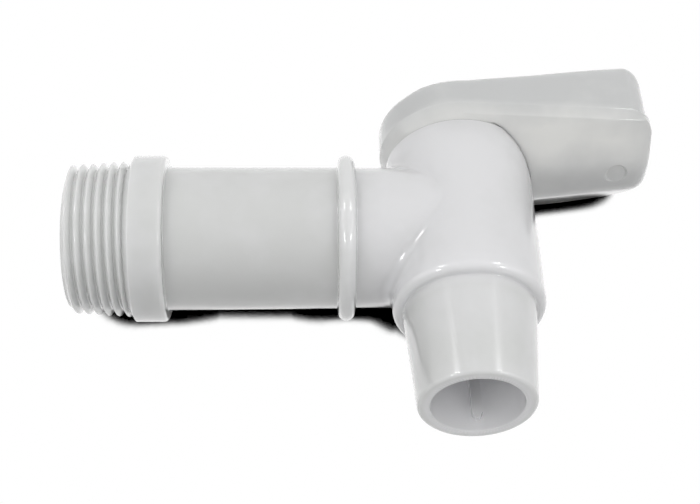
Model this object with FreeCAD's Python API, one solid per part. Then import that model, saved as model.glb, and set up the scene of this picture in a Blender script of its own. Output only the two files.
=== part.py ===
import FreeCAD, Part
import math
import os
from FreeCAD import Vector

# Plastic barrel tap (spigot), in millimetres.
# The origin is on the inlet axis, in the plane where the thread meets the collar.
# +X runs along the shank to the barrel, +Z up the barrel to the lever.
# The barrel, spout, plug and lever are drawn about the Z axis and moved to the barrel axis.

# Inlet: tapered core of the thread, to the thread's root, and the bore through the shank
thread_length = 10.5
thread_root_radius_tip = 12.35
thread_root_radius_collar = 12.95
inlet_nose_rounding = 0.45
inlet_bore_radius = 10.5

# Shank: collar, tube, bead ring and neck
shank_reach = 60.2
collar_radius = 14.95
collar_width = 7.04
collar_chamfer = 1.3
collar_rounding = 0.8
tube_radius = 12.83
ring_radius = 14.96
ring_width = 3.1
ring_to_barrel_axis = 21.27
neck_radius = 12.68
neck_blend = 0.9

# Barrel
barrel_radius = 13.45
barrel_top = 17.0
barrel_bottom = -17.0
barrel_top_rounding = 0.5
barrel_shoulder_rounding = 1.3
barrel_bore_radius = 10.95
ledge_height = 3.0
port_radius = 6.6
port_wall = 1.5

# Spout
spout_length = 18.87
spout_root_radius = 11.7
spout_tip_radius = 10.12
spout_bore_root_radius = 9.45
spout_bore_tip_radius = 7.94
spout_rim_rounding = 0.6
rib_width = 1.8
rib_height = 1.3
rib_to_rim = 1.9
rib_offset = 0.75

# Plug, turning in the barrel bore
plug_clearance = 0.05
plug_end_gap = 0.25
plug_nose_rounding = 0.5
plug_hollow_radius = 8.6
plug_port_radius = 6.4
plug_web_z = 7.6
plug_web = 1.8
pocket_radius = 8.0
seal_z = 10.9
seal_width = 1.8
seal_depth = 1.3
seal_side_gap = 0.12
seal_fit = 0.03
snap_z = 13.6
snap_width = 1.4
snap_depth = 0.35
snap_gap = 0.12

# Turning stop: a lug under the cap in an arc slot of the barrel rim
turn_each_way = 90.0
stop_lug_half_angle = 9.0
stop_gap_angle = 1.0
stop_slot_depth = 2.0
stop_slot_wall = 1.25
stop_gap = 0.2

# Cap over the barrel, which is the round end of the lever tray
cap_gap = 0.15
cap_floor = 1.75
cap_base_radius = 12.9
cap_radius = 14.5
cap_band_height = 2.85
tray_wall = 1.3

# Lever: half width and height of its crease and keel at the root, the middle and the tip
lever_mid = 18.0
lever_tip = 36.0
lever_rim_setback = 0.6
lever_corner_radius = 4.9
lever_barrel_gap = 0.6
crease_half_width_root = 14.45
crease_half_width_mid = 13.35
crease_half_width_tip = 10.85
crease_z_mid = 20.1
crease_z_tip = 21.45
chine_inset = 0.97
chine_drop = 1.85
chine_rounding = 0.3
keel_half_width_root = 3.5
keel_half_width_mid = 3.3
keel_half_width_tip = 2.5
keel_z_root = 9.9
keel_z_mid = 12.45
keel_z_tip = 14.05
keel_rounding = 6.0
hull_wall = 1.5
dimple_radius = 2.1
dimple_depth = 0.45
dimple_x = 30.2
dimple_y = -2.1

# Rim of the lever tray: level round the cap, a small step, then a climb to the tip
rim_z_round = 25.0
rim_step_x = -10.0
rim_step_length = 3.0
rim_z_step = 25.4
rim_step_rounding = 2.5
rim_climb_x = 1.0
rim_z_climb = 25.6
rim_climb_rounding = 20.0
rim_knee_x = 13.5
rim_z_knee = 27.5
rim_knee_rounding = 60.0
rim_z_tip = 32.45
rim_tip_rounding = 3.6

# Sections of the lever's loft
lever_sections = 5

# Overshoot of a cutting tool past the face that it opens, the stock above the rim,
# and the gap below which two points are one
past = 1.0
tray_stock = 3.0
tiny = 1e-6

# Short run at the lever's tip over which the slope of its side is taken
slope_run = 0.01

# Levels and radii that follow from the sizes above
spout_tip = barrel_bottom - spout_length
ledge_z = barrel_bottom + ledge_height
cap_base_z = barrel_top + cap_gap
plug_radius = barrel_bore_radius - plug_clearance
plug_bottom = ledge_z + plug_end_gap
seal_floor_radius = plug_radius - seal_depth
stop_slot_radius = barrel_radius - stop_slot_wall
tray_stock_top = rim_z_tip + tray_stock

X_AXIS = Vector(1, 0, 0)
Z_AXIS = Vector(0, 0, 1)
ORIGIN = Vector(0, 0, 0)


def corner_arc(corners, index):
    """Tangent points and middle of the arc that rounds one (u, v, rounding) corner."""
    u, v, rounding = corners[index]
    corner = Vector(u, v, 0)
    back = Vector(*corners[index - 1][:2], 0) - corner
    ahead = Vector(*corners[(index + 1) % len(corners)][:2], 0) - corner
    half_angle = back.getAngle(ahead) / 2
    tangent = rounding / math.tan(half_angle)
    bisector = back.normalize() + ahead.normalize()
    middle = corner + bisector.normalize() * (rounding / math.sin(half_angle) - rounding)
    return corner + back * tangent, middle, corner + ahead * tangent


def rounded_wire(corners, place):
    """Closed wire through (u, v, rounding) corners, set in space by place(u, v)."""
    runs = []
    for index, (u, v, rounding) in enumerate(corners):
        runs.append(corner_arc(corners, index) if rounding > 0 else (Vector(u, v, 0),))
    edges = []
    for index, run in enumerate(runs):
        points = [place(point.x, point.y) for point in run]
        if len(points) > 1:
            edges.append(Part.Arc(*points).toShape())
        following = runs[(index + 1) % len(runs)][0]
        if not following.isEqual(run[-1], tiny):
            edges.append(Part.makeLine(points[-1], place(following.x, following.y)))
    return Part.Wire(edges)


def flatted(corners):
    """Closed wire of the XZ plane, through (u, z, rounding, flats) corners.

    A turned edge is rounded by a few flats along its arc, which keeps the faceting light.
    """
    plain = [corner[:3] for corner in corners]
    points = []
    for index, (u, z, rounding, flats) in enumerate(corners):
        if flats == 0:
            points.append(Vector(u, 0, z))
            continue
        arc = Part.Arc(*(Vector(point.x, 0, point.y) for point in corner_arc(plain, index)))
        points.extend(arc.toShape().discretize(flats + 1))
    points = [point for index, point in enumerate(points) if not point.isEqual(points[index - 1], tiny)]
    return Part.makePolygon(points + points[:1])


def drawn_in(corners, walls):
    """Anticlockwise corners with side i, which leaves corner i, moved inward by walls[i]."""
    sides = []
    for index, wall in enumerate(walls):
        u, v, _ = corners[index]
        next_u, next_v, _ = corners[(index + 1) % len(corners)]
        length = math.hypot(next_u - u, next_v - v)
        run = (next_u - u) / length
        rise = (next_v - v) / length
        sides.append((u - rise * wall, v + run * wall, run, rise))
    moved = []
    for index, corner in enumerate(corners):
        u1, v1, run1, rise1 = sides[index - 1]
        u2, v2, run2, rise2 = sides[index]
        cross = run1 * rise2 - rise1 * run2
        reach = ((u2 - u1) * rise2 - (v2 - v1) * run2) / cross
        moved.append((u1 + run1 * reach, v1 + rise1 * reach, corner[2]))
    return moved


def flat(u, v):
    """Point of the XY plane."""
    return Vector(u, v, 0)


def turned_about_x(corners):
    """Solid of revolution about the inlet axis from (x, radius, rounding, flats) corners."""
    return Part.Face(flatted(corners)).revolve(ORIGIN, X_AXIS, 360)


def turned_about_z(corners):
    """Solid of revolution about the Z axis from (radius, z, rounding, flats) corners."""
    return Part.Face(flatted(corners)).revolve(ORIGIN, Z_AXIS, 360)


def disc_z(radius, bottom, top):
    """Upright cylinder about the Z axis between two heights."""
    return Part.makeCylinder(radius, top - bottom, Vector(0, 0, bottom))


def ring_sector(inner, outer, bottom, top, half_angle):
    """Part of a ring about the Z axis, centred on +X."""
    sector = Part.makeCylinder(outer, top - bottom, Vector(0, 0, bottom), Z_AXIS, 2 * half_angle)
    sector.rotate(ORIGIN, Z_AXIS, -half_angle)
    return sector.cut(disc_z(inner, bottom, top))


def at_barrel(shape):
    """Shape drawn about the Z axis, moved to the barrel axis."""
    return shape.translated(Vector(shank_reach, 0, 0))


def one_solid(shape):
    """The one solid of a joined shape, without the seams that joining leaves."""
    solids = shape.removeSplitter().Solids
    if len(solids) != 1:
        raise ValueError("expected one solid, found %d" % len(solids))
    return solids[0]


# Body

def shank_outside():
    """Turned outside of the inlet: nose, thread core, collar, tube, bead ring and neck."""
    ring_centre = shank_reach - ring_to_barrel_axis
    ring_half = ring_width / 2
    return turned_about_x([
        (-thread_length, 0, 0, 0),
        (-thread_length, thread_root_radius_tip, inlet_nose_rounding, 1),
        (0, thread_root_radius_collar, 0, 0),
        (collar_chamfer, collar_radius, 0, 0),
        (collar_width, collar_radius, collar_rounding, 1),
        (collar_width, tube_radius, 0, 0),
        (ring_centre - ring_half, tube_radius, 0, 0),
        (ring_centre - ring_half, ring_radius, ring_half, 3),
        (ring_centre + ring_half, ring_radius, ring_half, 3),
        (ring_centre + ring_half, neck_radius, 0, 0),
        (shank_reach, neck_radius, 0, 0),
        (shank_reach, 0, 0, 0),
    ])


def barrel_outside():
    """Turned outside of the barrel and of the tapered spout below it."""
    return turned_about_z([
        (0, barrel_top, 0, 0),
        (0, spout_tip, 0, 0),
        (spout_tip_radius, spout_tip, spout_rim_rounding, 1),
        (spout_root_radius, barrel_bottom, 0, 0),
        (barrel_radius, barrel_bottom, barrel_shoulder_rounding, 2),
        (barrel_radius, barrel_top, barrel_top_rounding, 1),
    ])


def neck_joint_edges(shape):
    """Edges where the neck runs into the barrel."""
    edges = []
    for edge in shape.Edges:
        box = edge.BoundBox
        across_neck = abs(box.YMax - neck_radius) < past and abs(box.ZMax - neck_radius) < past
        beside_barrel = shank_reach - barrel_radius - past < box.XMin and box.XMax < shank_reach - past
        if across_neck and beside_barrel and box.XLength > past:
            edges.append(edge)
    return edges


def inlet_bore():
    """Bore of the shank, up to the wall round the plug bore, with the port through that wall."""
    nose = Vector(-thread_length, 0, 0)
    bore = Part.makeCylinder(inlet_bore_radius, thread_length + shank_reach, nose, X_AXIS)
    port_seat = at_barrel(disc_z(barrel_bore_radius + port_wall, spout_tip, barrel_top))
    port = Part.makeCylinder(port_radius, barrel_radius, Vector(shank_reach, 0, 0), X_AXIS * -1)
    return bore.cut(port_seat).fuse(port)


def barrel_bore():
    """Bore of the barrel from its rim down to the ledge, with the snap groove."""
    bore = disc_z(barrel_bore_radius, ledge_z, barrel_top + past)
    groove_half = snap_width / 2 + snap_gap
    groove = disc_z(plug_radius + snap_depth + snap_gap, snap_z - groove_half, snap_z + groove_half)
    return bore.fuse(groove)


def stop_slot():
    """Arc slot in the barrel rim, open to the bore, where the stop lug runs."""
    half_angle = turn_each_way + stop_lug_half_angle + stop_gap_angle
    floor = barrel_top - stop_slot_depth
    return ring_sector(plug_radius, stop_slot_radius, floor, barrel_top + past, half_angle)


def spout_bore():
    """Bore of the spout, narrowing to the mouth."""
    return turned_about_z([
        (0, ledge_z + past, 0, 0),
        (0, spout_tip - past, 0, 0),
        (spout_bore_tip_radius, spout_tip - past, 0, 0),
        (spout_bore_tip_radius, spout_tip, 0, 0),
        (spout_bore_root_radius, barrel_bottom, 0, 0),
        (spout_bore_root_radius, ledge_z + past, 0, 0),
    ])


def spout_rib():
    """Rib down the spout's far wall, with a pointed foot above the mouth."""
    foot = spout_tip + rib_to_rim
    half = rib_width / 2
    bar = Part.Face(Part.makePolygon([
        Vector(rib_offset - half, 0, ledge_z),
        Vector(rib_offset + half, 0, ledge_z),
        Vector(rib_offset + half, 0, foot + half),
        Vector(rib_offset, 0, foot),
        Vector(rib_offset - half, 0, foot + half),
        Vector(rib_offset - half, 0, ledge_z),
    ])).extrude(Vector(0, spout_root_radius, 0))
    seat = (spout_tip_radius - spout_bore_tip_radius) / 2
    lining = turned_about_z([
        (spout_bore_root_radius - rib_height, ledge_z, 0, 0),
        (spout_bore_root_radius - rib_height, barrel_bottom, 0, 0),
        (spout_bore_tip_radius - rib_height, spout_tip, 0, 0),
        (spout_bore_tip_radius + seat, spout_tip, 0, 0),
        (spout_bore_root_radius + seat, barrel_bottom, 0, 0),
        (spout_bore_root_radius + seat, ledge_z, 0, 0),
    ])
    return bar.common(lining)


def make_body():
    """The body as moulded in one piece."""
    body = shank_outside().fuse(at_barrel(barrel_outside())).removeSplitter()
    body = body.makeChamfer(neck_blend, neck_joint_edges(body))
    for tool in (inlet_bore(), at_barrel(barrel_bore()), at_barrel(stop_slot()), at_barrel(spout_bore())):
        body = body.cut(tool)
    body = body.fuse(at_barrel(spout_rib()))
    return one_solid(body)


# Plug and lever

def along_lever(x, root, middle, tip):
    """Value at x of the smooth curve through the lever's root, middle and tip values."""
    at_root = (x - lever_mid) * (x - lever_tip) / (lever_mid * lever_tip)
    at_middle = x * (lever_tip - x) / (lever_mid * (lever_tip - lever_mid))
    at_tip = x * (x - lever_mid) / (lever_tip * (lever_tip - lever_mid))
    return root * at_root + middle * at_middle + tip * at_tip


def lever_half_width(x):
    """Half width of the lever at its crease."""
    return along_lever(x, crease_half_width_root, crease_half_width_mid, crease_half_width_tip)


def lever_crease_z(x):
    """Height of the crease between the tray's side and the hull."""
    return along_lever(x, cap_base_z + cap_band_height, crease_z_mid, crease_z_tip)


def lever_keel_z(x):
    """Height of the flat keel under the hull."""
    return along_lever(x, keel_z_root, keel_z_mid, keel_z_tip)


def lever_section(x, side_wall, floor_wall):
    """Section wire of the lever at x, drawn in from its outside by the walls."""
    half_width = lever_half_width(x)
    crease = lever_crease_z(x)
    keel_half = along_lever(x, keel_half_width_root, keel_half_width_mid, keel_half_width_tip)
    right = [
        (keel_half, lever_keel_z(x), keel_rounding - floor_wall),
        (half_width - chine_inset, crease - chine_drop, chine_rounding),
        (half_width, crease, 0),
        (half_width, tray_stock_top, 0),
    ]
    left = [(-y, z, rounding) for y, z, rounding in reversed(right)]
    walls = [floor_wall, side_wall, side_wall, 0, side_wall, side_wall, floor_wall, floor_wall]
    return rounded_wire(drawn_in(right + left, walls), lambda y, z: Vector(x, y, z))


def lever_plan(end, wall):
    """Upright block with the lever's plan outline, ending at x = end less the wall."""
    before_tip = lever_tip - slope_run
    slope = (lever_half_width(before_tip) - lever_half_width(lever_tip)) / slope_run
    root_half = crease_half_width_tip + slope * lever_tip
    end_half = crease_half_width_tip + slope * (lever_tip - end)
    corners = [
        (0, -root_half, 0),
        (end, -end_half, lever_corner_radius - wall),
        (end, end_half, lever_corner_radius - wall),
        (0, root_half, 0),
    ]
    outline = rounded_wire(drawn_in(corners, [wall, wall, wall, 0]), flat)
    return Part.Face(outline).extrude(Vector(0, 0, tray_stock_top))


def lever_block(end, side_wall, floor_wall):
    """Solid lever form, lofted through sections spaced evenly from its root to its tip."""
    spacing = lever_tip / (lever_sections - 1)
    sections = [lever_section(index * spacing, side_wall, floor_wall) for index in range(lever_sections)]
    return Part.makeLoft(sections, True, True).common(lever_plan(end, side_wall))


def lever_outside():
    """Outside of the lever, with the tray's end set back from the hull's and the barrel cleared."""
    block = lever_block(lever_tip, 0, 0)
    above_crease = Part.Face(Part.makePolygon([
        Vector(lever_mid, -cap_radius, crease_z_mid),
        Vector(lever_tip + past, -cap_radius, lever_crease_z(lever_tip + past)),
        Vector(lever_tip + past, -cap_radius, tray_stock_top),
        Vector(lever_mid, -cap_radius, tray_stock_top),
        Vector(lever_mid, -cap_radius, crease_z_mid),
    ])).extrude(Vector(0, 2 * cap_radius, 0))
    block = block.cut(above_crease.cut(lever_plan(lever_tip - lever_rim_setback, 0)))
    return block.cut(disc_z(barrel_radius + lever_barrel_gap, 0, cap_base_z))


def lever_inside():
    """Hollow of the lever, which stops at a wall round the barrel."""
    hollow = lever_block(lever_tip - lever_rim_setback, tray_wall, hull_wall)
    return hollow.cut(disc_z(barrel_radius + lever_barrel_gap + hull_wall, 0, cap_base_z + cap_floor))


def cap_form(side_wall, floor_wall):
    """Round end of the tray over the barrel, drawn in from its outside by the walls."""
    corners = [
        (0, cap_base_z, 0),
        (cap_base_radius, cap_base_z, 0),
        (cap_radius, cap_base_z + cap_band_height, 0),
        (cap_radius, tray_stock_top, 0),
        (0, tray_stock_top, 0),
    ]
    sharp = [corner + (0,) for corner in drawn_in(corners, [floor_wall, side_wall, side_wall, 0, 0])]
    return turned_about_z(sharp)


def above_rim():
    """Everything above the tray's rim, which climbs along the lever and rounds off at its end."""
    high = tray_stock_top + past
    rim_end = lever_tip - lever_rim_setback
    shoulder = crease_z_tip + past
    outline = rounded_wire([
        (-cap_radius - past, high, 0),
        (-cap_radius - past, rim_z_round, 0),
        (rim_step_x, rim_z_round, rim_step_rounding),
        (rim_step_x + rim_step_length, rim_z_step, rim_step_rounding),
        (rim_climb_x, rim_z_climb, rim_climb_rounding),
        (rim_knee_x, rim_z_knee, rim_knee_rounding),
        (rim_end, rim_z_tip, rim_tip_rounding),
        (rim_end, shoulder, 0),
        (lever_tip + past, shoulder, 0),
        (lever_tip + past, high, 0),
    ], lambda x, z: Vector(x, -cap_radius - past, z))
    block = Part.Face(outline).extrude(Vector(0, 2 * (cap_radius + past), 0))
    return block


def plug_outside():
    """Turned outside of the plug with its snap bead and seal groove."""
    bead_half = snap_width / 2
    groove_half = seal_width / 2 + seal_side_gap
    return turned_about_z([
        (0, plug_bottom, 0, 0),
        (plug_radius, plug_bottom, plug_nose_rounding, 1),
        (plug_radius, seal_z - groove_half, 0, 0),
        (seal_floor_radius, seal_z - groove_half, 0, 0),
        (seal_floor_radius, seal_z + groove_half, 0, 0),
        (plug_radius, seal_z + groove_half, 0, 0),
        (plug_radius, snap_z - bead_half, 0, 0),
        (plug_radius + snap_depth, snap_z, 0, 0),
        (plug_radius, snap_z + bead_half, 0, 0),
        (plug_radius, cap_base_z + cap_floor, 0, 0),
        (0, cap_base_z + cap_floor, 0, 0),
    ])


def plug_way():
    """Water way through the plug: the side port and the hollow below its web."""
    hollow = disc_z(plug_hollow_radius, plug_bottom - past, plug_web_z)
    return hollow.fuse(Part.makeCylinder(plug_port_radius, plug_radius + past, ORIGIN, X_AXIS * -1))


def stop_lug():
    """Lug under the cap that runs in the slot of the barrel rim."""
    bottom = barrel_top - stop_slot_depth + stop_gap
    return ring_sector(pocket_radius, stop_slot_radius - stop_gap, bottom, cap_base_z + cap_floor,
                       stop_lug_half_angle)


def keel_dimple():
    """Cutter of the shallow round mark in the keel near the lever's end."""
    keel = lever_keel_z(dimple_x)
    floor_radius = dimple_radius - dimple_depth
    wide = Part.makeCone(dimple_radius + past, floor_radius, dimple_depth + past, Vector(0, 0, -past))
    return wide.translated(Vector(dimple_x, dimple_y, keel))


def make_plug_lever():
    """The lever, cap and ported plug as moulded in one piece."""
    outside = cap_form(0, 0).fuse(lever_outside())
    tray = cap_form(tray_wall, cap_floor).fuse(lever_inside())
    part = outside.cut(tray).cut(above_rim())
    part = part.fuse(plug_outside()).fuse(stop_lug())
    pocket = disc_z(pocket_radius, plug_web_z + plug_web, cap_base_z + cap_floor + past)
    for tool in (pocket, plug_way(), keel_dimple()):
        part = part.cut(tool)
    return one_solid(part)


def make_plug_seal_ring():
    """Seal ring of the plug, pressed flat between its groove and the barrel bore."""
    ring = disc_z(barrel_bore_radius - seal_fit, seal_z - seal_width / 2, seal_z + seal_width / 2)
    return one_solid(ring.cut(disc_z(seal_floor_radius, plug_bottom, cap_base_z)))


os.makedirs("parts", exist_ok=True)
make_body().exportStep("parts/body.step")
at_barrel(make_plug_lever()).exportStep("parts/plug_lever.step")
at_barrel(make_plug_seal_ring()).exportStep("parts/plug_seal_ring.step")
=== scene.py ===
import math
import bmesh
import bpy
from mathutils import Matrix, Vector


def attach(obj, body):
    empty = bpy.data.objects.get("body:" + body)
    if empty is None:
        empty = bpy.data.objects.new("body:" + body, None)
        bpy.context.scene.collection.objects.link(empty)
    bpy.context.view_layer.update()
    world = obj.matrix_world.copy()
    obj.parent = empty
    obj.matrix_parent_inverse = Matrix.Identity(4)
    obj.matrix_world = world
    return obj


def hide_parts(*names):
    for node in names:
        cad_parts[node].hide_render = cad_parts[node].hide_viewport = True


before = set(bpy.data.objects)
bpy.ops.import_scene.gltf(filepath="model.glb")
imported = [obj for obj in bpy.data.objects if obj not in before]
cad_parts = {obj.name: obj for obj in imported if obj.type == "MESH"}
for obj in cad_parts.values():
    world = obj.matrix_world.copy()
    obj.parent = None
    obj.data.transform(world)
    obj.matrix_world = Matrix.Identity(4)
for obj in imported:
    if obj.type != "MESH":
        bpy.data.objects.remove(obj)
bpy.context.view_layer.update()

# Plastic barrel tap: a moulded body, and a plug with a hollow lever, lying on a white table.
# The CAD frame: origin on the inlet axis at the collar, +X to the barrel, +Z to the lever.
mm = 0.001
origin = Vector((0, 0, 0))
barrelX = 60.2           # millimetres, like all sizes below
barrelAt = Vector((barrelX, 0, 0))
roundSteps = 96          # steps of a full turn where nothing finer is asked for
past = 1.0               # a cutter runs this far past the face that it opens
overlap = 0.5            # and this far into a hollow that it meets
weldGap = 1e-4           # points this close are one while a piece is built
shortEdge = 1e-5         # and an edge this short is dropped
print("scene: CAD nodes", sorted(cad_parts))


def hexColour(code):
    channels = [int(code[i:i + 2], 16) / 255 for i in (1, 3, 5)]
    linear = [c / 12.92 if c <= 0.04045 else ((c + 0.055) / 1.055) ** 2.4 for c in channels]
    return (*linear, 1)


def addNode(tree, kind, settings=None, inputs=None):
    # inputs gives a socket, by name or number, its value or the socket that feeds it
    node = tree.nodes.new(kind)
    for name, value in (settings or {}).items():
        setattr(node, name, value)
    for name, value in (inputs or {}).items():
        if isinstance(value, bpy.types.NodeSocket):
            tree.links.new(value, node.inputs[name])
        else:
            node.inputs[name].default_value = value
    return node


def newMaterial(name):
    material = bpy.data.materials.new(name)
    material.use_nodes = True
    material.node_tree.nodes.clear()
    return material, material.node_tree


# Camera: the photograph's viewing angle, from below the spout; clip distances are in metres
view = {"lens": 72.863, "sensor": 36, "clip": (0.01, 10), "place": (32.93, -199.76, -160.90),
        "yaw": -1.919, "elevation": -38.267, "roll": -1.467}


def makeCamera():
    camera = bpy.data.objects.new("photoCamera", bpy.data.cameras.new("photoCamera"))
    camera.data.lens = view["lens"]
    camera.data.sensor_width = view["sensor"]
    camera.data.clip_start, camera.data.clip_end = view["clip"]
    turn = Matrix.Rotation(math.radians(view["yaw"]), 4, "Z")
    turn = turn @ Matrix.Rotation(math.radians(90 - view["elevation"]), 4, "X")
    turn = turn @ Matrix.Rotation(math.radians(view["roll"]), 4, "Z")
    camera.matrix_world = Matrix.Translation(Vector(view["place"]) * mm) @ turn
    bpy.context.scene.collection.objects.link(camera)
    bpy.context.scene.camera = camera


makeCamera()
print("scene: camera")


# Outlines and rings of vertices, in millimetres until a piece is finished
def roundedLine(corners, arcStep=12, runs=None):
    # corners are (u, v, rounding); a rounded corner becomes an arc of short runs
    points = []
    for i, (u, v, rounding) in enumerate(corners):
        corner = Vector((u, v))
        if rounding == 0 or i in (0, len(corners) - 1):
            points.append(corner)
            continue
        back = (Vector(corners[i - 1][:2]) - corner).normalized()
        ahead = (Vector(corners[i + 1][:2]) - corner).normalized()
        half = back.angle(ahead) / 2
        centre = corner + (back + ahead).normalized() * (rounding / math.sin(half))
        start = corner + back * (rounding / math.tan(half)) - centre
        end = corner + ahead * (rounding / math.tan(half)) - centre
        count = runs or max(2, math.ceil(math.degrees(start.angle(end)) / arcStep))
        points.extend(centre + start.slerp(end, k / count) * rounding for k in range(count + 1))
    return points


def growRing(mesh, ring):
    edges = [mesh.edges.get((ring[i - 1], ring[i])) for i in range(len(ring))]
    grown = bmesh.ops.extrude_edge_only(mesh, edges=edges)["geom"]
    fresh = {item for item in grown if isinstance(item, bmesh.types.BMVert)}
    return [next(e.other_vert(v) for e in v.link_edges if e.other_vert(v) in fresh) for v in ring]


def placeRing(ring, spots):
    for vert, spot in zip(ring, spots):
        vert.co = spot
    return ring


def newRing(mesh, spots):
    ring = bmesh.ops.create_circle(mesh, segments=len(spots), radius=1)["verts"]
    return placeRing(ring, spots)


def spun(mesh, outline, about, at, steps):
    # turns (distance along the axis, radius) points about the X or Z axis through at
    spots = [(u, 0, v) if about == "X" else (v, 0, u) for u, v in outline]
    line = [mesh.verts.new(at + Vector(spot)) for spot in spots]
    edges = [mesh.edges.new(pair) for pair in zip(line, line[1:])]
    axis = (1, 0, 0) if about == "X" else (0, 0, 1)
    bmesh.ops.spin(mesh, geom=line + edges, cent=at, axis=axis, angle=2 * math.pi, steps=steps,
                   use_merge=True)


def closed(mesh):
    # welds the seams, caps the open ends and turns every face outwards
    bmesh.ops.remove_doubles(mesh, verts=mesh.verts, dist=weldGap)
    bmesh.ops.holes_fill(mesh, edges=[e for e in mesh.edges if e.is_boundary], sides=0)
    bmesh.ops.dissolve_degenerate(mesh, edges=mesh.edges, dist=shortEdge)
    bmesh.ops.recalc_face_normals(mesh, faces=mesh.faces)
    return mesh


def newPart(name, mesh):
    data = bpy.data.meshes.new(name)
    mesh.transform(Matrix.Scale(mm, 4))
    mesh.to_mesh(data)
    mesh.free()
    part = bpy.data.objects.new(name, data)
    bpy.context.scene.collection.objects.link(part)
    return part


def turned(name, about, at, outline, steps=roundSteps):
    mesh = bmesh.new()
    spun(mesh, outline, about, at, steps)
    return newPart(name, closed(mesh))


def rod(name, about, at, radius, start, end):
    return turned(name, about, at, [(start, radius), (end, radius)])


def lofted(name, rings):
    # solid through rings of points, closed at its first and last ring
    mesh = bmesh.new()
    ring = newRing(mesh, rings[0])
    mesh.faces.new(ring)
    for spots in rings[1:]:
        ring = placeRing(growRing(mesh, ring), spots)
    mesh.faces.new(ring)
    return newPart(name, closed(mesh))


def slab(name, outline, start, depth):
    # block with an (x, z) outline about the barrel axis, from y = start over the depth
    mesh = bmesh.new()
    face = mesh.faces.new([mesh.verts.new(barrelAt + Vector((x, start, z))) for x, z in outline])
    grown = bmesh.ops.extrude_face_region(mesh, geom=[face])["geom"]
    verts = [item for item in grown if isinstance(item, bmesh.types.BMVert)]
    bmesh.ops.translate(mesh, verts=verts, vec=(0, depth, 0))
    return newPart(name, closed(mesh))


def ringSector(name, inner, outer, bottom, top, halfAngle, steps):
    # part of a ring about the barrel axis, centred on +X
    mesh = bmesh.new()
    start = Matrix.Rotation(math.radians(-halfAngle), 4, "Z")
    corners = [mesh.verts.new(barrelAt + start @ Vector((r, 0, z)))
               for r, z in ((inner, bottom), (outer, bottom), (outer, top), (inner, top))]
    face = mesh.faces.new(corners)
    bmesh.ops.spin(mesh, geom=corners + list(face.edges) + [face], cent=barrelAt, axis=(0, 0, 1),
                   angle=math.radians(2 * halfAngle), steps=steps)
    return newPart(name, closed(mesh))


def combined(piece, tools):
    # joins or cuts each (object, operation) and leaves plain mesh
    for tool, operation in tools:
        cut = piece.modifiers.new(tool.name, "BOOLEAN")
        cut.object = tool
        cut.operation = operation
        cut.solver = "EXACT"
    seen = piece.evaluated_get(bpy.context.evaluated_depsgraph_get())
    solid = bpy.data.meshes.new_from_object(seen)
    piece.modifiers.clear()
    piece.data = solid
    for tool, _ in tools:
        bpy.data.objects.remove(tool)
    return piece


# What a cut leaves is welded at 2 microns, and edges that turn more than 32 degrees stay sharp
finish = {"weld": 2e-6, "shortEdge": 1e-6, "sharpAngle": 32}


def finished(piece, body, node, material):
    piece.data.materials.clear()
    piece.data.materials.append(material)
    mesh = bmesh.new()
    mesh.from_mesh(piece.data)
    bmesh.ops.remove_doubles(mesh, verts=mesh.verts, dist=finish["weld"])
    bmesh.ops.dissolve_degenerate(mesh, edges=mesh.edges, dist=finish["shortEdge"])
    for face in mesh.faces:
        face.smooth = True
        face.material_index = 0
    for edge in mesh.edges:
        edge.smooth = edge.calc_face_angle(0) < math.radians(finish["sharpAngle"])
    mesh.to_mesh(piece.data)
    mesh.free()
    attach(piece, body)
    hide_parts(node)
    print("scene:", piece.name, len(piece.data.polygons), "faces")


# Natural polyethylene, injection moulded: milky and waxy, because light sinks some millimetres
# into it, with a smooth skin that keeps small soft highlights. The base colour carries painted
# light and shade: a whiter copy where much plastic would glow with light, and a greyer one on thin
# walls and in shade. Clouds of 9 mm stand for uneven colour, a grain of 0.35 mm for the mould's
# skin, drawn as coarse as the render can show.
plastic = {"roughness": 0.20, "ior": 1.52, "scatter": 2.0, "subsurface": 1.0,
           "gloss": 1.0, "glossRoughness": 0.07,
           "cloudSize": 9.0, "cloudDetail": 3.0, "cloudRange": (0.3, 0.7), "cloudShare": 0.25,
           "grainSize": 0.35, "grainStrength": 0.12, "grainDepth": 0.02}
# Pairs of sizes below are where the painted light starts to turn a tint white and where it is
# fully so
bodyTint = {**plastic, "scatter": 4.5, "paintedLitColour": "#E5E5E7", "paintedShadeColour": "#D6D7D6",
            "bandRadius": (13.0, 14.6), "bandX": (46.0, 42.0), "bandShare": 0.2,
            "spoutRadius": (12.4, 11.7), "spoutTaper": 0.085, "shoulderZ": (-19.0, -16.0),
            "spoutShare": 0.18, "barrelStartX": (37.0, 46.0), "barrelShare": 0.85}
leverTint = {**plastic, "paintedLitColour": "#DDDDDB", "paintedShadeColour": "#C5C6C6",
             "trayZ": (21.8, 16.5), "keelZ": (9.8, 13.5), "keelClimb": 0.115}
# Silicone, moulded: the same milky depth with a duller skin
siliconeTint = {**plastic, "roughness": 0.42, "gloss": 0.2, "paintedLitColour": "#DADAD8",
                "paintedShadeColour": "#CFCFCE", "ringZ": (9.9, 10.9)}


def axisDistance(tree, at, through, across):
    # distance from an axis through a point; across is 1 in the directions that count
    offset = addNode(tree, "ShaderNodeVectorMath", {"operation": "SUBTRACT"},
                     {0: at, 1: through * mm})
    flat = addNode(tree, "ShaderNodeVectorMath", {"operation": "MULTIPLY"},
                   {0: offset.outputs["Vector"], 1: across})
    length = addNode(tree, "ShaderNodeVectorMath", {"operation": "LENGTH"},
                     {0: flat.outputs["Vector"]})
    return length.outputs["Value"]


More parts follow.
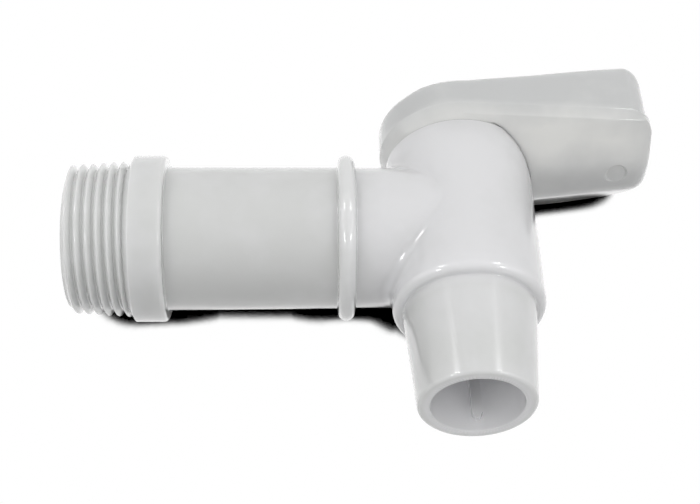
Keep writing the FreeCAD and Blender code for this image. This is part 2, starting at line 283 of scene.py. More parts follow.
def bodyPaintedLightShade(tree, at):
    # painted light and shade: the colour is painted white on the barrel with its plug and in the
    # spout's bore, a little whiter on the collar and bead ring, and greyer on the tube and the
    # thin outside of the spout
    tint = bodyTint
    spot = addNode(tree, "ShaderNodeSeparateXYZ", inputs={"Vector": at}).outputs
    inletRadius = axisDistance(tree, at, origin, (0, 1, 1))
    barrelRadius = axisDistance(tree, at, barrelAt, (1, 1, 0))
    coneRadius = addNode(tree, "ShaderNodeMath", {"operation": "MULTIPLY_ADD"},
                         {0: spot["Z"], 1: -tint["spoutTaper"], 2: barrelRadius})
    most, least = tint["barrelShare"], tint["barrelShare"] * tint["spoutShare"]
    ramps = [(inletRadius, tint["bandRadius"], 0, 1),
             (spot["X"], tint["bandX"], 0, tint["bandShare"]),
             (coneRadius.outputs["Value"], tint["spoutRadius"], 0, most),
             (spot["Z"], tint["shoulderZ"], least, most + least),
             (spot["X"], tint["barrelStartX"], 0, 1)]
    radial, along, cone, shoulder, start = [
        addNode(tree, "ShaderNodeMapRange", inputs={
            "Value": source, "From Min": limits[0] * mm, "From Max": limits[1] * mm,
            "To Min": low, "To Max": high}).outputs["Result"]
        for source, limits, low, high in ramps]
    bands = addNode(tree, "ShaderNodeMath", {"operation": "MULTIPLY"}, {0: radial, 1: along})
    spout = addNode(tree, "ShaderNodeMath", {"operation": "ADD"}, {0: cone, 1: shoulder})
    barrel = addNode(tree, "ShaderNodeMath", {"operation": "MULTIPLY"},
                     {0: start, 1: spout.outputs["Value"]})
    both = addNode(tree, "ShaderNodeMath", {"operation": "MAXIMUM"},
                   {0: bands.outputs["Value"], 1: barrel.outputs["Value"]})
    return both.outputs["Value"]


def leverPaintedShade(tree, at):
    # painted shade: the colour is painted greyer on the keel and on the thin side wall of the
    # tray, so the hull's sides stay whiter
    spot = addNode(tree, "ShaderNodeSeparateXYZ", inputs={"Vector": at}).outputs
    reach = addNode(tree, "ShaderNodeMath", {"operation": "SUBTRACT"},
                    {0: spot["X"], 1: barrelX * mm})
    aboveKeel = addNode(tree, "ShaderNodeMath", {"operation": "MULTIPLY_ADD"},
                        {0: reach.outputs["Value"], 1: -leverTint["keelClimb"], 2: spot["Z"]})
    ramps = [(spot["Z"], leverTint["trayZ"]), (aboveKeel.outputs["Value"], leverTint["keelZ"])]
    belowTray, sides = [
        addNode(tree, "ShaderNodeMapRange", inputs={
            "Value": source, "From Min": limits[0] * mm, "From Max": limits[1] * mm})
        for source, limits in ramps]
    both = addNode(tree, "ShaderNodeMath", {"operation": "MULTIPLY"},
                   {0: belowTray.outputs["Result"], 1: sides.outputs["Result"]})
    return both.outputs["Value"]


def sealPaintedShade(tree, at):
    # painted shade: the ring's colour is painted greyer towards its rounded lower edge, where it
    # is thinnest
    low, high = siliconeTint["ringZ"]
    spot = addNode(tree, "ShaderNodeSeparateXYZ", inputs={"Vector": at})
    ring = addNode(tree, "ShaderNodeMapRange", inputs={
        "Value": spot.outputs["Z"], "From Min": low * mm, "From Max": high * mm})
    return ring.outputs["Result"]


def mouldedPlastic(name, tint, paintedLightShade):
    material, tree = newMaterial(name)
    at = addNode(tree, "ShaderNodeTexCoord").outputs["Object"]
    cloud = addNode(tree, "ShaderNodeTexNoise", inputs={
        "Vector": at, "Scale": 1 / (tint["cloudSize"] * mm), "Detail": tint["cloudDetail"]})
    low, high = tint["cloudRange"]
    spread = addNode(tree, "ShaderNodeMapRange", inputs={
        "Value": cloud.outputs["Fac"], "From Min": low, "From Max": high,
        "To Min": -tint["cloudShare"], "To Max": tint["cloudShare"]})
    # painted light and shade: the mask mixes the greyer and the whiter copy of the colour, with
    # the clouds on top
    share = addNode(tree, "ShaderNodeMath", {"operation": "ADD"},
                    {0: paintedLightShade(tree, at), 1: spread.outputs["Result"]})
    colour = addNode(tree, "ShaderNodeMixRGB", inputs={
        "Fac": share.outputs["Value"], "Color1": hexColour(tint["paintedShadeColour"]),
        "Color2": hexColour(tint["paintedLitColour"])})
    grain = addNode(tree, "ShaderNodeTexNoise", inputs={
        "Vector": at, "Scale": 1 / (tint["grainSize"] * mm)})
    bump = addNode(tree, "ShaderNodeBump", inputs={
        "Height": grain.outputs["Fac"], "Strength": tint["grainStrength"],
        "Distance": tint["grainDepth"] * mm})
    shader = addNode(tree, "ShaderNodeBsdfPrincipled", {"subsurface_method": "RANDOM_WALK"}, {
        "Base Color": colour.outputs["Color"], "Normal": bump.outputs["Normal"],
        "Roughness": tint["roughness"], "IOR": tint["ior"],
        "Subsurface Weight": tint["subsurface"], "Subsurface Radius": (1.0, 1.0, 1.0),
        "Subsurface Scale": tint["scatter"] * mm,
        "Coat Weight": tint["gloss"], "Coat Roughness": tint["glossRoughness"]})
    addNode(tree, "ShaderNodeOutputMaterial", inputs={"Surface": shader.outputs["BSDF"]})
    return material


bodyPlastic = mouldedPlastic("polyethylene_moulded_body", bodyTint, bodyPaintedLightShade)
leverPlastic = mouldedPlastic("polyethylene_moulded_lever", leverTint, leverPaintedShade)
sealRubber = mouldedPlastic("silicone_moulded_seal", siliconeTint, sealPaintedShade)

# Body, moulded in one piece: threaded shank, collar, tube, bead ring, neck, barrel and spout.
# "seatGap" keeps the top face's own edge off the edge of the stop's slot. "mouthLead" widens the
# spout's bore at its rim: (height over the rim, extra radius). "ribPoint" is the rib's pointed
# foot in half widths: (across, up).
tap = {"segments": 192, "nose": -10.5, "coreTip": 12.35, "coreCollar": 12.95,
       "noseRounding": 0.45, "inletBore": 10.5, "collar": 14.95, "collarWidth": 7.04,
       "collarChamfer": 1.3, "chamferFoot": 0.15, "chamferTop": 0.25, "collarRounding": 0.8,
       "tubeAtCollar": 12.90, "tubeAtRing": 12.77, "footBlend": 0.35,
       "ring": 14.955, "ringWidth": 3.1, "ringFlat": 0.01, "ringToBarrel": 21.27,
       "neck": 12.68, "neckBlend": 2.4, "neckSteps": 8, "sideSteps": 7,
       "barrel": 13.45, "barrelTop": 17.0, "barrelBottom": -17.0, "topRounding": 0.5,
       "shoulderRounding": 1.4, "barrelBore": 10.95, "ledge": -14.0, "port": 6.6,
       "portWall": 1.5, "grooveZ": 13.6, "grooveHalf": 0.82, "grooveDepth": 0.42,
       "slotRadius": 12.2, "slotDepth": 2.0, "slotAngle": 100, "slotSteps": 67, "seatGap": 0.2,
       "spoutTip": -35.87, "spoutRoot": 11.7, "spoutTipRadius": 10.12, "rimRounding": 0.6,
       "spoutBoreRoot": 9.45, "spoutBoreTip": 7.94, "spoutBoreSteps": 100,
       "mouthLead": [(0.3, 0.02), (0.1, 0.1), (0, 0.3)],
       "ribWidth": 1.8, "ribHeight": 1.3, "ribX": 0.75, "ribHead": -14.05, "ribFoot": -33.97,
       "ribSeat": 0.8, "ribPoint": [(1, 1.3), (0.5, 0.3), (0, 0), (-0.5, 0.3), (-1, 1.3)]}


def neckJoint(angle):
    # centre of the ball that rolls between neck and barrel, and its touching points on both
    across = (tap["neck"] + tap["neckBlend"]) * math.cos(angle)
    reach = tap["barrel"] + tap["neckBlend"]
    height = (tap["neck"] + tap["neckBlend"]) * math.sin(angle)
    ball = Vector((-math.sqrt(reach ** 2 - across ** 2), across, height))
    onNeck = Vector((ball.x, tap["neck"] * math.cos(angle), tap["neck"] * math.sin(angle)))
    onBarrel = Vector((ball.x * tap["barrel"] / reach, ball.y * tap["barrel"] / reach, ball.z))
    return ball, onNeck, onBarrel


def shankOutline():
    # (x, radius, rounding) from the nose over the collar and the bead ring to the neck
    ringX = barrelX - tap["ringToBarrel"]
    half = tap["ringWidth"] / 2
    bead = half - tap["ringFlat"]
    return roundedLine([
        (tap["nose"], tap["inletBore"] - past, 0),
        (tap["nose"], tap["coreTip"], tap["noseRounding"]),
        (0, tap["coreCollar"], tap["chamferFoot"]),
        (tap["collarChamfer"], tap["collar"], tap["chamferTop"]),
        (tap["collarWidth"], tap["collar"], tap["collarRounding"]),
        (tap["collarWidth"], tap["tubeAtCollar"], tap["footBlend"]),
        (ringX - half, tap["tubeAtRing"], tap["footBlend"]),
        (ringX - half, tap["ring"], bead),
        (ringX + half, tap["ring"], bead),
        (ringX + half, tap["neck"], tap["footBlend"]),
        (barrelX - tap["barrel"] - 2 * tap["neckBlend"], tap["neck"], 0)])


def barrelEdge(top, bottom):
    # round the edge of the half barrel that faces the inlet: azimuth from -X, and height
    count = tap["segments"]
    quarter = count // 4
    edge = []
    for i in range(count):
        side, along = divmod((i + quarter // 2) % count, quarter)
        share = along / quarter
        edge.append([(90, bottom + (top - bottom) * share), (90 - 180 * share, top),
                     (-90, top - (top - bottom) * share), (-90 + 180 * share, bottom)][side])
    return edge


def bodySkin():
    mesh = bmesh.new()
    count = tap["segments"]
    angles = [2 * math.pi * i / count for i in range(count)]
    shank = [[(x, radius * math.cos(a), radius * math.sin(a)) for a in angles]
             for x, radius in shankOutline()]
    ring = newRing(mesh, shank[0])
    mesh.faces.new(ring)
    for spots in shank[1:]:
        ring = placeRing(growRing(mesh, ring), spots)

    # the fillet between neck and barrel
    joints = [neckJoint(a) for a in angles]
    for step in range(tap["neckSteps"] + 1):
        share = step / tap["neckSteps"]
        spots = [barrelAt + ball + (onNeck - ball).slerp(onBarrel - ball, share) * tap["neckBlend"]
                 for ball, onNeck, onBarrel in joints]
        ring = placeRing(growRing(mesh, ring), spots)

    # the barrel's near half, from the fillet out to its edge, then its far half by a turn
    top = tap["barrelTop"] - tap["topRounding"]
    bottom = tap["barrelBottom"] + tap["shoulderRounding"]
    starts = [(math.degrees(math.asin(onBarrel.y / tap["barrel"])), onBarrel.z)
              for _, _, onBarrel in joints]
    ends = barrelEdge(top, bottom)
    for step in range(1, tap["sideSteps"] + 1):
        spots = []
        for (a0, z0), (a1, z1) in zip(starts, ends):
            azimuth = math.radians(a0 + (a1 - a0) * step / tap["sideSteps"])
            spots.append(barrelAt + Vector((-tap["barrel"] * math.cos(azimuth),
                                            tap["barrel"] * math.sin(azimuth),
                                            z0 + (z1 - z0) * step / tap["sideSteps"])))
        ring = placeRing(growRing(mesh, ring), spots)
    quarter = count // 4
    side = [ring[(i - quarter // 2) % count] for i in range(quarter + 1)]
    edges = [mesh.edges.get(pair) for pair in zip(side, side[1:])]
    bmesh.ops.spin(mesh, geom=side + edges, cent=barrelAt, axis=(0, 0, -1), angle=math.pi,
                   steps=quarter)
    bmesh.ops.remove_doubles(mesh, verts=mesh.verts, dist=weldGap)

    # its top, and its shoulder with the spout: (z, radius, rounding)
    rim = [(top, tap["barrel"], 0), (tap["barrelTop"], tap["barrel"], tap["topRounding"]),
           (tap["barrelTop"], tap["slotRadius"] + tap["seatGap"], 0)]
    spout = [(bottom, tap["barrel"], 0),
             (tap["barrelBottom"], tap["barrel"], tap["shoulderRounding"]),
             (tap["barrelBottom"], tap["spoutRoot"], tap["footBlend"]),
             (tap["spoutTip"], tap["spoutTipRadius"], tap["rimRounding"]),
             (tap["spoutTip"], tap["spoutBoreTip"] + tap["mouthLead"][-1][1], 0)]
    for level, corners in ((top, rim), (bottom, spout)):
        ring = [v for v in mesh.verts
                if abs(v.co.z - level) < weldGap and any(e.is_boundary for e in v.link_edges)]
        ring.sort(key=lambda v: math.atan2(v.co.y, v.co.x - barrelX))
        turns = [math.atan2(v.co.y, v.co.x - barrelX) for v in ring]
        for z, radius in roundedLine(corners)[1:]:
            spots = [barrelAt + Vector((radius * math.cos(a), radius * math.sin(a), z))
                     for a in turns]
            ring = placeRing(growRing(mesh, ring), spots)
        mesh.faces.new(ring)
    return newPart("tap_body_moulding", closed(mesh))


# Inlet thread: right-handed and tapered, 14 turns to the inch, with rounded crests.
# The profile is (x from the crest, share of the height); the crest fades in and out.
thread = {"pitch": 25.4 / 14, "turns": 5.75, "firstCrest": -10.155, "startAngle": 92.3,
          "stepsPerTurn": 96, "fadeSteps": 9, "crestTip": 13.32, "crestCollar": 14.05,
          "sunk": 0.3, "noseGap": 0.03,
          "profile": [(-0.96, 0.0), (-0.26, 0.86), (-0.14, 0.97), (0.0, 1.0),
                      (0.14, 0.97), (0.26, 0.86), (0.96, 0.0)]}


def threadRidge():
    mesh = bmesh.new()
    steps = round(thread["turns"] * thread["stepsPerTurn"])
    start = math.radians(thread["startAngle"])
    line = [mesh.verts.new((thread["firstCrest"] + x, math.cos(start), math.sin(start)))
            for x, _ in thread["profile"]]
    edges = [mesh.edges.new((line[i - 1], line[i])) for i in range(len(line))]
    bmesh.ops.spin(mesh, geom=line + edges, cent=origin, axis=(1, 0, 0), steps=steps,
                   angle=2 * math.pi * steps / thread["stepsPerTurn"],
                   dvec=(thread["pitch"] / thread["stepsPerTurn"], 0, 0))
    verts = list(mesh.verts)
    count = len(line)
    mesh.faces.new(verts[:count])
    mesh.faces.new(verts[-count:])
    for i, vert in enumerate(verts):
        along = (vert.co.x - tap["nose"]) / -tap["nose"]
        root = tap["coreTip"] + (tap["coreCollar"] - tap["coreTip"]) * along
        crest = thread["crestTip"] + (thread["crestCollar"] - thread["crestTip"]) * along
        step = i // count
        fade = min(1, step / thread["fadeSteps"], (steps - step) / thread["fadeSteps"])
        rise = thread["profile"][i % count][1] * fade
        radius = root - thread["sunk"] + (crest - root + thread["sunk"]) * rise
        vert.co = (max(vert.co.x, tap["nose"] + thread["noseGap"]),
                   vert.co.y * radius, vert.co.z * radius)
    return newPart("threadRidge", closed(mesh))


def bodyCavities():
    bore = rod("inletBore", "X", origin, tap["inletBore"], tap["nose"] - past, barrelX)
    seat = rod("portSeat", "Z", barrelAt, tap["barrelBore"] + tap["portWall"],
               tap["spoutTip"], tap["barrelTop"])
    bore = combined(bore, [(seat, "DIFFERENCE")])
    port = rod("port", "X", origin, tap["port"], barrelX - tap["barrel"], barrelX)
    low, high = tap["grooveZ"] - tap["grooveHalf"], tap["grooveZ"] + tap["grooveHalf"]
    radius, deep = tap["barrelBore"], tap["barrelBore"] + tap["grooveDepth"]
    barrelBore = turned("barrelBore", "Z", barrelAt, [
        (tap["ledge"], radius), (low, radius), (low, deep), (high, deep), (high, radius),
        (tap["barrelTop"] + past, radius)])
    lead = [(tap["spoutTip"] + up, tap["spoutBoreTip"] + out) for up, out in tap["mouthLead"]]
    spoutBore = turned("spoutBore", "Z", barrelAt, [
        (tap["ledge"] + past, tap["spoutBoreRoot"]), (tap["barrelBottom"], tap["spoutBoreRoot"]),
        *lead, (tap["spoutTip"] - past, lead[-1][1])], tap["spoutBoreSteps"])
    stopSlot = ringSector("stopSlot", tap["barrelBore"] - overlap, tap["slotRadius"],
                          tap["barrelTop"] - tap["slotDepth"], tap["barrelTop"] + past,
                          tap["slotAngle"], tap["slotSteps"])
    return [(cut, "DIFFERENCE") for cut in (bore, port, barrelBore, stopSlot, spoutBore)]


def spoutRib():
    # rib down the spout's far wall, with a pointed foot above the mouth
    half, x = tap["ribWidth"] / 2, tap["ribX"]
    outline = [(x - half, tap["ribHead"]), (x + half, tap["ribHead"])]
    outline += [(x + across * half, tap["ribFoot"] + up * half) for across, up in tap["ribPoint"]]
    bar = slab("spoutRib", outline, 0, tap["spoutRoot"])
    levels = [(tap["ledge"], tap["spoutBoreRoot"]), (tap["barrelBottom"], tap["spoutBoreRoot"]),
              (tap["spoutTip"], tap["spoutBoreTip"])]
    outline = [(z, radius - tap["ribHeight"]) for z, radius in levels]
    outline += [(z, radius + tap["ribSeat"]) for z, radius in reversed(levels)]
    lining = turned("lining", "Z", barrelAt, outline + outline[:1])
    return combined(bar, [(lining, "INTERSECT")])


tapBody = bodySkin()
print("scene: body skin", len(tapBody.data.polygons))
combined(tapBody, [(threadRidge(), "UNION"), *bodyCavities(), (spoutRib(), "UNION")])
finished(tapBody, "tap_body", "body", bodyPlastic)


# Lever: a hollow hull-shaped tray, its round cap over the barrel, and the ported plug, moulded in
# one piece. X runs from the barrel axis. Values in threes are at the root, the middle and the
# tip. "rim" and "dimple" are (x or depth, height or radius, rounding).
lever = {"middle": 18.0, "tip": 36.0, "tipPast": 0.05, "sections": 65, "sectionRuns": 6,
         "creaseHalf": (14.45, 13.35, 10.85), "creaseZ": (20.0, 20.1, 21.45),
         "keelHalf": (3.5, 3.3, 2.5), "keelZ": (9.9, 12.45, 14.05), "keelRounding": 7.0,
         "chineInset": 0.97, "chineDrop": 1.85, "chineRounding": 0.6, "creaseRounding": 0.4,
         "endRounding": 3.0, "endSteps": 12, "chineLift": 0.3,
         "cornerRadius": 4.9, "cornerRuns": 12, "rimSetback": 0.6, "setbackSteps": 6,
         "hullWall": 1.5, "trayWall": 1.3, "stockTop": 35.7, "barrelGap": 0.03,
         "rim": [(-10.0, 25.0, 2.5), (-7.0, 25.4, 2.5), (1.0, 25.6, 20.0), (13.5, 27.5, 60.0),
                 (35.4, 32.45, 3.6)], "rimArcStep": 2,
         "capBase": 17.15, "capFloor": 1.75, "capBaseRadius": 12.9, "capBaseRounding": 0.3,
         "capRadius": 14.5, "capBand": 2.85, "capSteps": 192, "capSink": 0.05, "floorSink": 0.03,
         "plug": 10.9, "plugBottom": -13.75, "plugNose": 0.5, "plugSteps": 128, "plugSink": 0.2,
         "sealZ": 10.9, "sealHalf": 1.02, "sealFloor": 9.6, "sealRounding": 0.1,
         "snapZ": 13.6, "snapHalf": 0.7, "snapRise": 0.35, "snapFoot": 0.3, "snapCrest": 0.4,
         "web": (7.6, 9.4), "pocket": 8.0, "hollow": 8.6, "sidePort": 6.4,
         "lugAngle": 9.0, "lugBottom": 15.2, "lugOuter": 12.0, "lugSink": 0.3, "lugSteps": 10,
         "dimpleAt": (29.6, -1.5), "dimpleLift": 0.3, "dimpleTilt": -20.0, "dimpleSteps": 64,
         "dimple": [(-1.5, 2.25, 0), (0, 2.05, 0.15), (0.3, 1.7, 0.25), (0.3, 0, 0)]}


def alongLever(x, values):
    # smooth curve through a value at the root, the middle and the tip
    root, middle, tip = values
    m, t = lever["middle"], lever["tip"]
    return (root * (x - m) * (x - t) / (m * t) + middle * x * (t - x) / (m * (t - m))
            + tip * x * (x - m) / (t * (t - m)))


def drawnIn(corners, walls):
    # moves side i of a closed outline, which leaves corner i, inward by walls[i]
    sides = []
    for i, wall in enumerate(walls):
        start, end = Vector(corners[i][:2]), Vector(corners[(i + 1) % len(corners)][:2])
        run = (end - start).normalized()
        sides.append((start + Vector((-run.y, run.x)) * wall, run))
    moved = []
    for i, corner in enumerate(corners):
        (p, run), (q, other) = sides[i - 1], sides[i]
        cross = run.x * other.y - run.y * other.x
        reach = ((q - p).x * other.y - (q - p).y * other.x) / cross
        moved.append((*(p + run * reach), corner[2]))
    return moved


def leverStations():
    # even steps to the rounded end, then finer ones round it
    radius, end = lever["endRounding"], lever["tip"] + lever["tipPast"]
    even = [(end - radius) * i / lever["sections"] for i in range(lever["sections"] + 1)]
    turns = [math.pi / 2 * k / lever["endSteps"] for k in range(1, lever["endSteps"] + 1)]
    rounded = [end - radius + radius * math.sin(turn) for turn in turns]
    return even + rounded + [lever["tip"] + past]


def leverSection(x, sideWall, floorWall):
    half, crease = alongLever(x, lever["creaseHalf"]), alongLever(x, lever["creaseZ"])
    radius = lever["endRounding"]
    over = min(max(0, x - (lever["tip"] + lever["tipPast"] - radius)), radius)
    lift = radius - math.sqrt(radius ** 2 - over ** 2)      # the keel runs up round the hull's end
    right = [(alongLever(x, lever["keelHalf"]), alongLever(x, lever["keelZ"]) + lift,
              lever["keelRounding"] - floorWall),
             (half - lever["chineInset"], crease - lever["chineDrop"] + lever["chineLift"] * lift,
              lever["chineRounding"]),
             (half, crease, lever["creaseRounding"]), (half, lever["stockTop"], 0)]
    corners = right + [(-y, z, rounding) for y, z, rounding in reversed(right)]
    walls = [floorWall, sideWall, sideWall, 0, sideWall, sideWall, floorWall, floorWall]
    corners = drawnIn(corners, walls)
    corners = corners[4:] + corners[:4]      # from the left top down round the keel to the right
    return roundedLine(corners, runs=lever["sectionRuns"])


def leverLoft(name, sideWall, floorWall):
    return lofted(name, [[barrelAt + Vector((x, y, z))
                          for y, z in leverSection(x, sideWall, floorWall)]
                         for x in leverStations()])


def leverPlan(end, wall):
    # plan outline of the lever, ending at x = end less the wall
    nearTip = 0.01      # the sides run on straight, as they run this far before the tip
    slope = (alongLever(lever["tip"] - nearTip, lever["creaseHalf"])
             - alongLever(lever["tip"], lever["creaseHalf"]))
    slope = slope / nearTip
    rootHalf = lever["creaseHalf"][2] + slope * (lever["tip"] + past)
    endHalf = lever["creaseHalf"][2] + slope * (lever["tip"] - end)
    rounding = lever["cornerRadius"] - wall
    corners = [(-past, -rootHalf, 0), (end, -endHalf, rounding), (end, endHalf, rounding),
               (-past, rootHalf, 0)]
    return roundedLine(drawnIn(corners, [wall, wall, wall, 0]), runs=lever["cornerRuns"])


def planBlock(name, levels):
    # upright block through (plan outline, height at x) levels from the bottom up
    return lofted(name, [[barrelAt + Vector((x, y, height(x))) for x, y in outline]
                         for outline, height in levels])


def leverOutside():
    # the hull's end is full, the tray's end stands back from it over a small rounded shoulder
    tip, back, steps = lever["tip"], lever["rimSetback"], lever["setbackSteps"]
    levels = [(leverPlan(tip, 0), lambda x: 0)]
    for k in range(steps + 1):
        turn = math.radians(90 / steps * k)
        levels.append((leverPlan(tip - back * (1 - math.cos(turn)), 0),
                       lambda x, drop=back * (1 - math.sin(turn)):
                       alongLever(x, lever["creaseZ"]) - drop))
    levels.append((leverPlan(tip - back, 0), lambda x: lever["stockTop"] + past))
    clear = rod("barrelClearance", "Z", barrelAt, tap["barrel"] + lever["barrelGap"], -past,
                lever["capBase"] + lever["capSink"])
    return combined(leverLoft("leverOutside", 0, 0),
                    [(planBlock("leverEnd", levels), "INTERSECT"), (clear, "DIFFERENCE")])


def leverInside():
    plan = leverPlan(lever["tip"] - lever["rimSetback"], lever["trayWall"])
    block = planBlock("trayEnd", [(plan, lambda x: 0), (plan, lambda x: lever["stockTop"] + past)])
    wall = rod("barrelWall", "Z", barrelAt,
               tap["barrel"] + lever["barrelGap"] + lever["hullWall"], -past,
               lever["capBase"] + lever["capFloor"] + lever["floorSink"])
    return combined(leverLoft("leverInside", lever["trayWall"], lever["hullWall"]),
                    [(block, "INTERSECT"), (wall, "DIFFERENCE")])


def capForm(name, sideWall, floorWall):
    # the cap's outside, or with its walls drawn in the round end of the tray's hollow
    base, top = lever["capBase"], lever["stockTop"]
    baseRounding = lever["capBaseRounding"] if sideWall == 0 else 0
    corners = [(0, base, 0), (lever["capBaseRadius"], base, baseRounding),
               (lever["capRadius"], base + lever["capBand"], lever["creaseRounding"]),
               (lever["capRadius"], top, 0), (0, top, 0)]
    outline = roundedLine(drawnIn(corners, [floorWall, sideWall, sideWall, 0, 0]))
    return turned(name, "Z", barrelAt, [(z, r) for r, z in outline[1:-1]], lever["capSteps"])


def aboveRim():
    high, left, right = lever["stockTop"] + past, -lever["capRadius"] - past, lever["tip"] + past
    rim, shoulder = lever["rim"], lever["creaseZ"][2] + past
    corners = [(left, high, 0), (left, rim[0][1], 0), *rim, (rim[-1][0], shoulder, 0),
               (right, shoulder, 0), (right, high, 0)]
    outline = roundedLine(corners, arcStep=lever["rimArcStep"])
    return slab("aboveRim", outline, left, -2 * left)


def plugOutside():
    plug, sealFloor, seal = lever["plug"], lever["sealFloor"], lever["sealRounding"]
    sealLow, sealHigh = lever["sealZ"] - lever["sealHalf"], lever["sealZ"] + lever["sealHalf"]
    snapLow, snapHigh = lever["snapZ"] - lever["snapHalf"], lever["snapZ"] + lever["snapHalf"]
    corners = [(lever["plugBottom"], plug - past, 0),
               (lever["plugBottom"], plug, lever["plugNose"]),
               (sealLow, plug, seal), (sealLow, sealFloor, seal),
               (sealHigh, sealFloor, seal), (sealHigh, plug, seal),
               (snapLow, plug, lever["snapFoot"]),
               (lever["snapZ"], plug + lever["snapRise"], lever["snapCrest"]),
               (snapHigh, plug, lever["snapFoot"]),
               (lever["capBase"] + lever["capFloor"] - lever["plugSink"], plug, 0)]
    return turned("plugOutside", "Z", barrelAt, roundedLine(corners), lever["plugSteps"])


def dimple():
    # cutter of the shallow round mark beside the keel near the lever's end, square to the hull
    mesh = bmesh.new()
    spun(mesh, roundedLine(lever["dimple"]), "Z", origin, lever["dimpleSteps"])
    x, y = lever["dimpleAt"]
    spot = Vector((x, y, alongLever(x, lever["keelZ"]) + lever["dimpleLift"]))
    turn = Matrix.Rotation(math.radians(lever["dimpleTilt"]), 4, "X")
    bmesh.ops.transform(mesh, verts=mesh.verts, matrix=Matrix.Translation(barrelAt + spot) @ turn)
    return newPart("dimple", closed(mesh))


def leverCavities():
    low, high = lever["web"]
    pocket = rod("pocket", "Z", barrelAt, lever["pocket"], high,
                 lever["capBase"] + lever["capFloor"] + past)
    hollow = rod("plugHollow", "Z", barrelAt, lever["hollow"], lever["plugBottom"] - past, low)
    port = rod("plugPort", "X", origin, lever["sidePort"], barrelX - lever["plug"] - past, barrelX)
    return [(cut, "DIFFERENCE") for cut in (pocket, hollow, port, dimple())]


def stopLug():
    return ringSector("stopLug", lever["pocket"] - overlap, lever["lugOuter"],
                      lever["lugBottom"], lever["capBase"] + lever["lugSink"],
                      lever["lugAngle"], lever["lugSteps"])


tapLever = capForm("tap_lever_moulding", 0, 0)
tray = combined(capForm("tray", lever["trayWall"], lever["capFloor"]), [(leverInside(), "UNION")])
combined(tapLever, [(leverOutside(), "UNION"), (tray, "DIFFERENCE"), (aboveRim(), "DIFFERENCE"),
                    (plugOutside(), "UNION"), (stopLug(), "UNION"), *leverCavities()])
finished(tapLever, "tap_plug", "plug_lever", leverPlastic)
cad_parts["plug_seal_ring"].data.materials.clear()
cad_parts["plug_seal_ring"].data.materials.append(sealRubber)


# Setting: a plain white table at the tap's far side, a dome that glows softly from the camera's
# side, lamps at both ends for the highlights, and a softbox behind, whose light comes through
# the table. A lamp is (direction, distance, size, watts), and a pair is mirrored in X.
setting = {"tableAt": (38.93, 15.0, 0), "tableTilt": -1.25, "tableHalf": 1500.0,
           "tableWhite": 0.28, "shadowReach": 9.0, "shadowBlack": 0.33, "shadowClear": 0.40,
           "shadowRays": 64, "dome": 0.24, "glow": 0.53, "glowFrom": (0, -0.98, -0.20),
           "lampAim": (35, 0, 0),
           "lampPairs": {"softboxSide": ((0.90, -0.43, -0.06), 600, (400, 400), 0.29),
                         "sideLampHigh": ((0.593, -0.788, 0.16), 700, (90, 150), 0.52),
                         "sideLampLow": ((0.64, -0.60, -0.476), 700, (90, 150), 0.52)},
           "softboxBehind": ((0, 0.785, 0.62), 600, (300, 300), 2.6)}


def seenRays(tree):
    # 1 for what the camera sees, straight, mirrored or through clear things
    rays = addNode(tree, "ShaderNodeLightPath").outputs
    mirrored = addNode(tree, "ShaderNodeMath", {"operation": "MAXIMUM"},
                       {0: rays["Is Glossy Ray"], 1: rays["Is Transmission Ray"]})
    seen = addNode(tree, "ShaderNodeMath", {"operation": "MAXIMUM"},
                   {0: rays["Is Camera Ray"], 1: mirrored.outputs["Value"]})
    return seen.outputs["Value"]


def tableMaterial():
    # matt white paint: pure white to the camera but for the tap's dark touching shadow. It is
    # clear from its far side and to shadow rays, so that the softbox behind shines through it.
    material, tree = newMaterial("painted_table_white")
    hollow = addNode(tree, "ShaderNodeAmbientOcclusion", {"samples": setting["shadowRays"]},
                     {"Distance": setting["shadowReach"] * mm})
    tone = addNode(tree, "ShaderNodeValToRGB", inputs={"Fac": hollow.outputs["AO"]})
    tone.color_ramp.elements[0].position = setting["shadowBlack"]
    tone.color_ramp.elements[1].position = setting["shadowClear"]
    plain = addNode(tree, "ShaderNodeBsdfDiffuse",
                    inputs={"Color": (*[setting["tableWhite"]] * 3, 1)})
    glow = addNode(tree, "ShaderNodeEmission", inputs={"Color": tone.outputs["Color"]})
    front = addNode(tree, "ShaderNodeMixShader", inputs={
        0: seenRays(tree), 1: plain.outputs["BSDF"], 2: glow.outputs["Emission"]})
    clear = addNode(tree, "ShaderNodeBsdfTransparent")
    side = addNode(tree, "ShaderNodeNewGeometry")
    rays = addNode(tree, "ShaderNodeLightPath")
    through = addNode(tree, "ShaderNodeMath", {"operation": "MAXIMUM"},
                      {0: side.outputs["Backfacing"], 1: rays.outputs["Is Shadow Ray"]})
    both = addNode(tree, "ShaderNodeMixShader", inputs={
        0: through.outputs["Value"], 1: front.outputs["Shader"], 2: clear.outputs["BSDF"]})
    addNode(tree, "ShaderNodeOutputMaterial", inputs={"Surface": both.outputs["Shader"]})
    return material


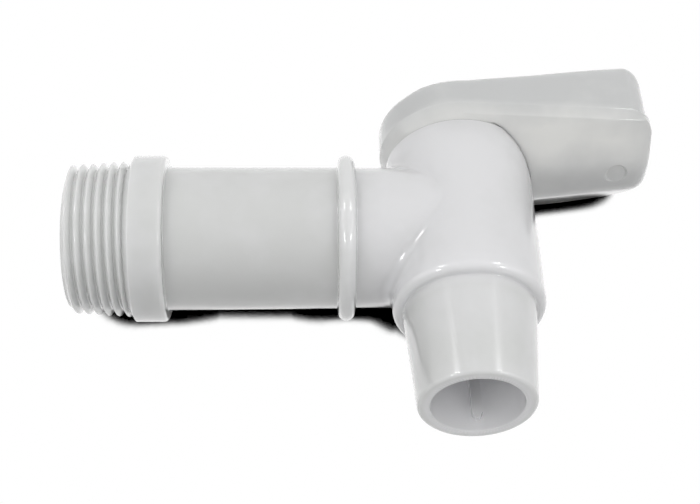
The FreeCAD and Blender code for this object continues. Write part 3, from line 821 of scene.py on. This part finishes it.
def makeTable():
    # the tap rests on its bead ring and on the side of its cap
    mesh = bmesh.new()
    bmesh.ops.create_grid(mesh, x_segments=1, y_segments=1, size=setting["tableHalf"])
    turn = Matrix.Rotation(math.radians(90), 4, "X")      # its face then looks along -Y
    turn = Matrix.Rotation(math.radians(setting["tableTilt"]), 4, "Z") @ turn
    place = Matrix.Translation(setting["tableAt"])
    bmesh.ops.transform(mesh, verts=mesh.verts, matrix=place @ turn)
    table = newPart("table", mesh)
    table.data.materials.append(tableMaterial())


def makeLamp(name, direction, distance, size, power):
    lamp = bpy.data.objects.new(name, bpy.data.lights.new(name, "AREA"))
    lamp.data.shape = "RECTANGLE"
    lamp.data.size, lamp.data.size_y = (side * mm for side in size)
    lamp.data.energy = power
    way = Vector(direction)
    lamp.location = (Vector(setting["lampAim"]) + way.normalized() * distance) * mm
    lamp.rotation_euler = way.to_track_quat("Z", "Y").to_euler()
    bpy.context.scene.collection.objects.link(lamp)


def makeSky():
    # brighter in a wide soft patch on the camera's side, and plain white where it is seen
    sky = bpy.data.worlds.new("studioSky")
    bpy.context.scene.world = sky
    sky.use_nodes = True
    tree = sky.node_tree
    tree.nodes.clear()
    way = addNode(tree, "ShaderNodeTexCoord")
    facing = addNode(tree, "ShaderNodeVectorMath", {"operation": "DOT_PRODUCT"},
                     {0: way.outputs["Generated"], 1: setting["glowFrom"]})
    level = addNode(tree, "ShaderNodeMapRange", inputs={
        "Value": facing.outputs["Value"], "To Min": setting["dome"],
        "To Max": setting["dome"] + setting["glow"]})
    dome = addNode(tree, "ShaderNodeBackground", inputs={
        "Color": (1, 1, 1, 1), "Strength": level.outputs["Result"]})
    white = addNode(tree, "ShaderNodeBackground", inputs={
        "Color": (1, 1, 1, 1), "Strength": 1.0})
    mix = addNode(tree, "ShaderNodeMixShader", inputs={
        0: seenRays(tree), 1: dome.outputs["Background"], 2: white.outputs["Background"]})
    addNode(tree, "ShaderNodeOutputWorld", inputs={"Surface": mix.outputs["Shader"]})


makeTable()
makeSky()
for side in (-1, 1):
    for name, ((x, y, z), distance, size, power) in setting["lampPairs"].items():
        makeLamp(name, (side * x, y, z), distance, size, power)
makeLamp("softboxBehind", *setting["softboxBehind"])
bpy.context.scene.view_settings.view_transform = "Standard"
print("scene: table and lamps")
